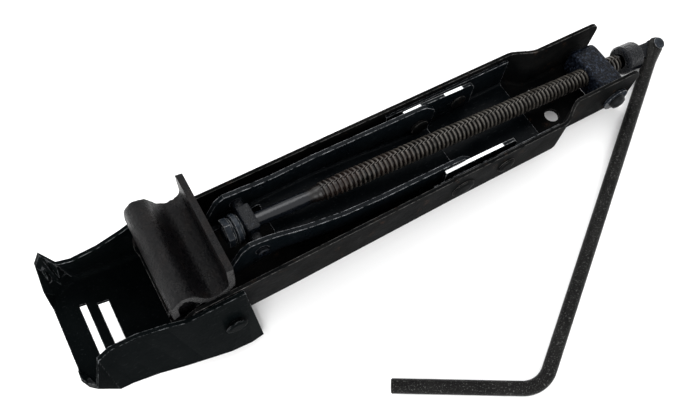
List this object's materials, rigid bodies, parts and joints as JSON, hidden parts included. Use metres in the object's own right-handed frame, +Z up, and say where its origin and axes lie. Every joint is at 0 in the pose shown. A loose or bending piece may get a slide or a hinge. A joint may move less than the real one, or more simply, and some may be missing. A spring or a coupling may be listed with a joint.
{
  "type": "car jack",
  "caption": "Folded scissor-type screw jack of pressed black steel: channel column, hinged foot, lifting arm, waved saddle, lead screw and folding crank.",
  "frame": {"origin": "middle of the folded jack's footprint, on the ground it lies on", "axes": "+X along the jack from the foot to the crank's hinge, +Y across it away from the crank's side, +Z up out of the channel's open side"},
  "size_m": [0.4868, 0.2198, 0.1126],
  "materials": {
    "black_paint": "worn gloss",
    "dark_cast_steel": "rough, brownish black",
    "oiled_thread_steel": "oiled, lightly rusted",
    "dull_bare_steel": "dull",
    "phosphated_rod": "phosphated, speckled"
  },
  "bodies": {
    "column": {"column": "black_paint", "column_liner": "black_paint", "arm_bush_near": "dull_bare_steel", "arm_bush_far": "dull_bare_steel", "arm_pivot_near": "black_paint", "arm_pivot_far": "black_paint", "cheek_near": "black_paint", "cheek_far": "black_paint", "cheek_rivet_near": "black_paint", "cheek_rivet_far": "black_paint", "foot_rivet_near": "black_paint", "foot_rivet_far": "black_paint", "foot_washer_near": "dull_bare_steel", "foot_washer_far": "dull_bare_steel", "trunnion_washer_near": "dull_bare_steel", "trunnion_washer_far": "dull_bare_steel"},
    "foot": {"foot": "black_paint"},
    "arm": {"arm": "black_paint", "saddle_pin": "dull_bare_steel", "saddle_pin_clip": "dull_bare_steel", "saddle_bush_near": "dull_bare_steel", "saddle_bush_far": "dull_bare_steel"},
    "saddle": {"saddle_plate": "dark_cast_steel", "saddle_bracket": "dark_cast_steel"},
    "anchor": {"anchor_block": "dark_cast_steel", "thrust_washer_thin": "dull_bare_steel"},
    "screw": {"lead_screw": "oiled_thread_steel", "end_nut": "dull_bare_steel", "seat_washer": "dull_bare_steel", "thrust_washer": "dull_bare_steel", "crank_clevis": "dark_cast_steel", "crank_pin": "dull_bare_steel"},
    "crank": {"crank_handle": "phosphated_rod"},
    "trunnion": {"trunnion_block": "dark_cast_steel"}
  },
  "joints": [
    {"name": "arm_lift", "type": "hinge", "parent": "column", "child": "arm", "pos_m": [0.02728, 0.06193, 0.04037], "axis": [0, 1, 0], "range_deg": [0, 85]},
    {"name": "trunnion_swing", "type": "hinge", "parent": "column", "child": "trunnion", "pos_m": [0.17086, 0.06193, 0.02128], "axis": [0, 1, 0], "range_deg": [0, 43]},
    {"name": "anchor_swivel", "type": "hinge", "parent": "arm", "child": "anchor", "pos_m": [-0.1123, 0.06193, 0.07905], "axis": [0, 1, 0], "range_deg": [-43, 0]},
    {"name": "screw_spin", "type": "hinge", "parent": "anchor", "child": "screw", "pos_m": [-0.1123, 0.06193, 0.07905], "axis": [0.9798, 0, -0.1999], "continuous": true},
    {"name": "crank_swing", "type": "hinge", "parent": "screw", "child": "crank", "pos_m": [0.23575, 0.06193, 0.00804], "axis": [0.1921, -0.2762, 0.9417], "range_deg": [0, 140]},
    {"name": "foot_hinge", "type": "hinge", "parent": "column", "child": "foot", "pos_m": [-0.14809, 0.06193, 0.04905], "axis": [0, 1, 0], "range_deg": [0, 43]},
    {"name": "saddle_tilt", "type": "hinge", "parent": "arm", "child": "saddle", "pos_m": [-0.15753, 0.06193, 0.07132], "axis": [0, 1, 0], "range_deg": [-12, 12]}
  ],
  "couplings": [
    {"joint": "trunnion_swing", "follows": "arm_lift", "ratio": 0.5},
    {"joint": "anchor_swivel", "follows": "arm_lift", "ratio": -0.5},
    {"joint": "foot_hinge", "follows": "arm_lift", "ratio": 0.5}
  ]
}
